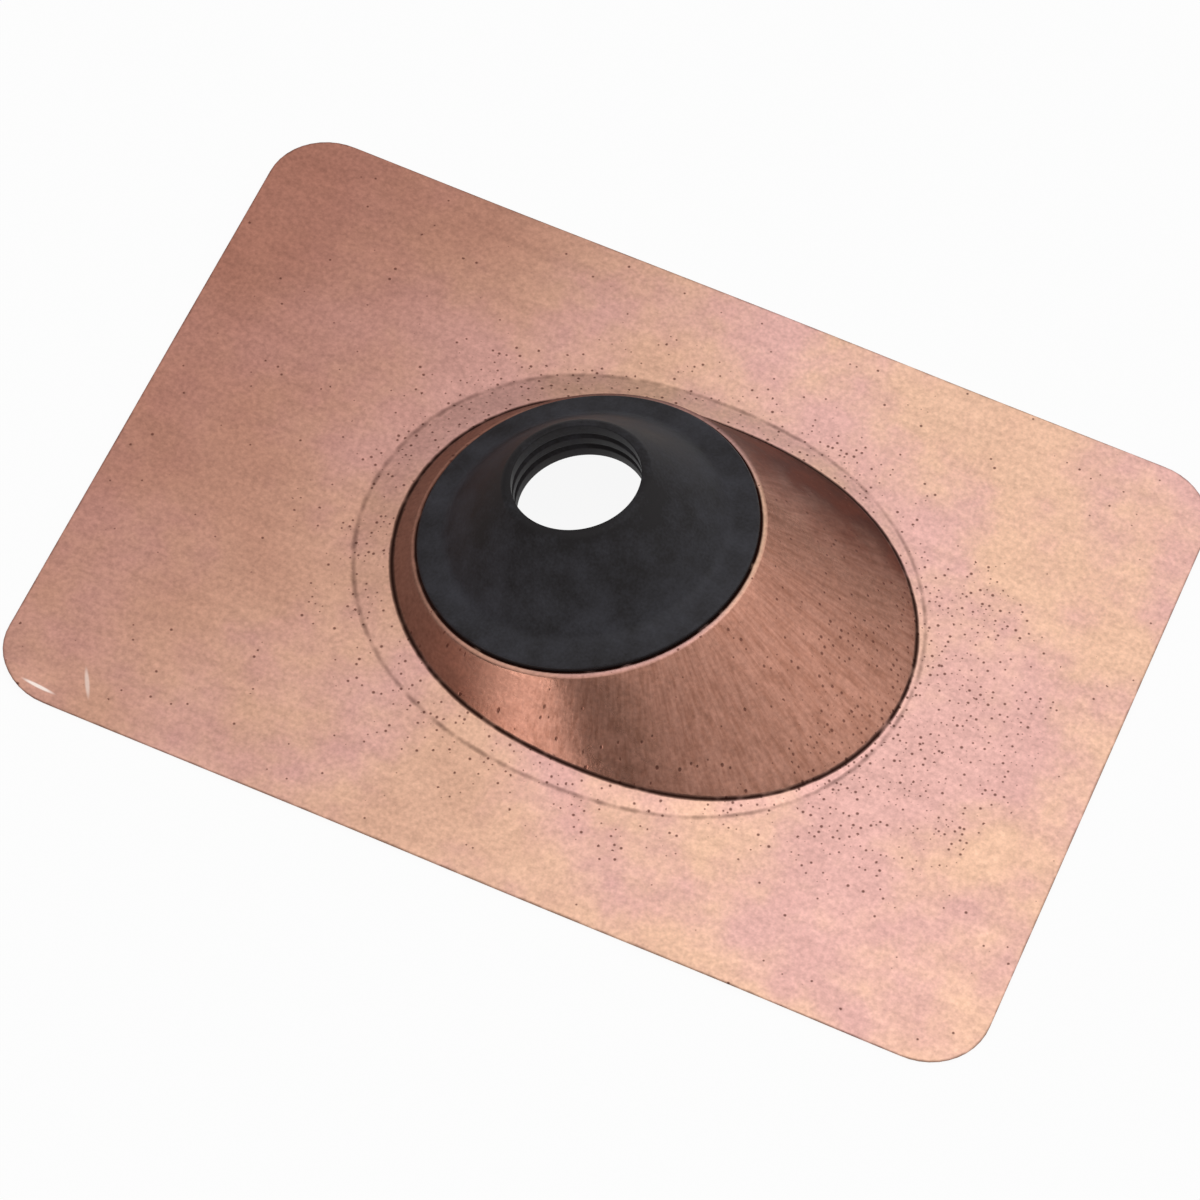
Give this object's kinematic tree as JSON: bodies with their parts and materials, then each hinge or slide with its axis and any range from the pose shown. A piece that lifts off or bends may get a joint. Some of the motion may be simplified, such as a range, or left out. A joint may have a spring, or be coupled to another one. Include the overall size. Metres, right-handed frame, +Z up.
{
  "type": "pipe flashing boot",
  "caption": "Roof flashing for a plumbing vent pipe: a drawn copper sheet with an offset cone and a flexible rubber sealing collar round its mouth.",
  "frame": {"origin": "middle of the flange's underside", "axes": "+X down the roof, along the flange's long side, towards the cone's long slope; +Y across the roof; +Z up, away from the roof"},
  "size_m": [0.3174, 0.2286, 0.0521],
  "materials": {
    "copper": "mill-finish copper sheet, dull and slightly mottled",
    "rubber": "smooth moulded black rubber with a soft sheen"
  },
  "bodies": {
    "root": {"flashing_base": "copper", "rubber_collar": "rubber"}
  },
  "joints": []
}
